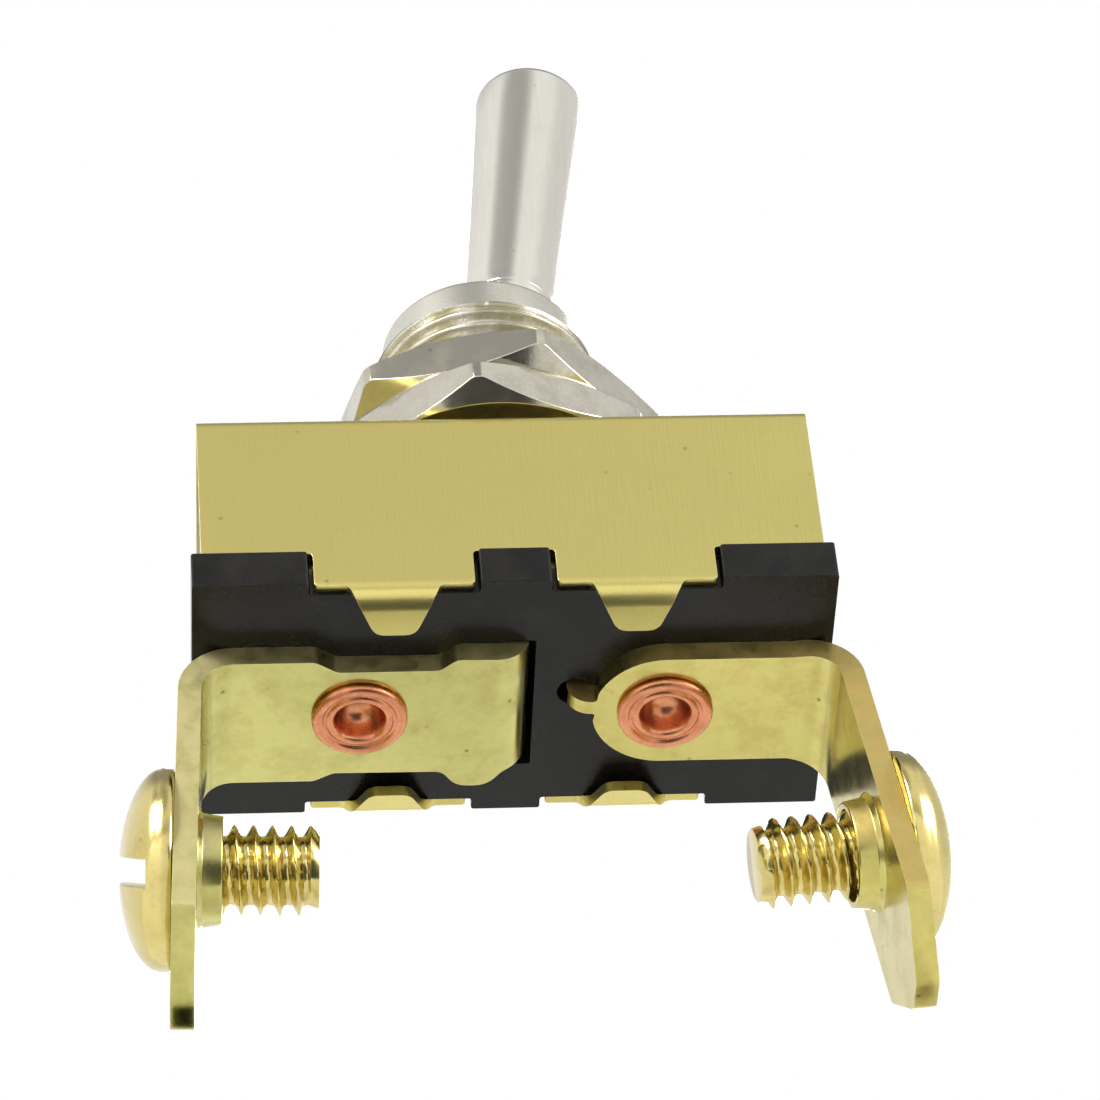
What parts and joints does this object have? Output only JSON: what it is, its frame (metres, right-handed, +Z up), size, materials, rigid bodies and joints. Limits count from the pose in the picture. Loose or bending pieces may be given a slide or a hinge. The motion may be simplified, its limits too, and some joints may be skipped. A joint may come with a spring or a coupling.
{
  "type": "toggle switch",
  "caption": "Enclosed single-pole toggle switch with a bat lever, a threaded panel bushing, a brass cover on a phenolic base and screw terminals.",
  "frame": {"origin": "on the bushing axis, where the free thread begins, 0.08 mm above the upper panel nut's outer face", "axes": "+Z up the threaded bushing towards the lever; X along the case, with the common terminal at -X and the load terminal at +X; the front long wall faces -Y. The lever rests thrown towards +X, the off position."},
  "size_m": [0.0439, 0.02, 0.0719],
  "materials": {
    "cover_brass": "satin",
    "phenolic": "satin",
    "fibre": "matte",
    "nickel": "satin",
    "lever_nickel": "polished",
    "terminal_brass": "polished",
    "screw_brass": "polished",
    "copper": "polished",
    "silver": "satin",
    "spring_steel": "satin",
    "contact_brass": "satin"
  },
  "bodies": {
    "case": {"cover": "cover_brass", "base": "phenolic", "insulator_plate": "fibre", "bushing": "nickel", "terminal_common": "terminal_brass", "terminal_load": "terminal_brass", "rivet_common": "copper", "rivet_load": "copper", "fixed_contact": "silver"},
    "lever": {"lever": "lever_nickel", "pivot_pin": "spring_steel", "plunger_spring": "spring_steel"},
    "plunger": {"plunger": "contact_brass"},
    "rocker": {"contact_rocker": "contact_brass", "moving_contact": "silver"},
    "nut_lower": {"panel_nut_lower": "nickel"},
    "nut_upper": {"panel_nut_upper": "nickel"},
    "screw_common": {"screw_common": "screw_brass"},
    "screw_load": {"screw_load": "screw_brass"}
  },
  "joints": [
    {"name": "lever_throw", "type": "hinge", "parent": "case", "child": "lever", "pos_m": [0, 0, -0.003], "axis": [0, 1, 0], "range_deg": [-14.9, 0]},
    {"name": "plunger_travel", "type": "slide", "parent": "lever", "child": "plunger", "axis": [0.1297, 0, 0.9916], "range_m": [0, 0.0006], "stiffness_N_per_m": 1500, "springref_m": -0.001, "deforming": ["plunger_spring"]},
    {"name": "contact_rock", "type": "hinge", "parent": "case", "child": "rocker", "pos_m": [0, 0, -0.0149], "axis": [0, 1, 0], "range_deg": [0, 14.3]},
    {"name": "nut_lower_travel", "type": "slide", "parent": "case", "child": "nut_lower", "axis": [0, 0, -1], "range_m": [0, 0.0007]},
    {"name": "nut_upper_travel", "type": "slide", "parent": "case", "child": "nut_upper", "axis": [0, 0, 1], "range_m": [0, 0.005]},
    {"name": "screw_common_travel", "type": "slide", "parent": "case", "child": "screw_common", "axis": [-0.999, 0, 0.0436], "range_m": [0, 0.004]},
    {"name": "screw_load_travel", "type": "slide", "parent": "case", "child": "screw_load", "axis": [0.9936, 0, 0.1132], "range_m": [0, 0.004]}
  ],
  "couplings": [
    {"joint": "contact_rock", "follows": "lever_throw", "ratio": -0.9597}
  ]
}
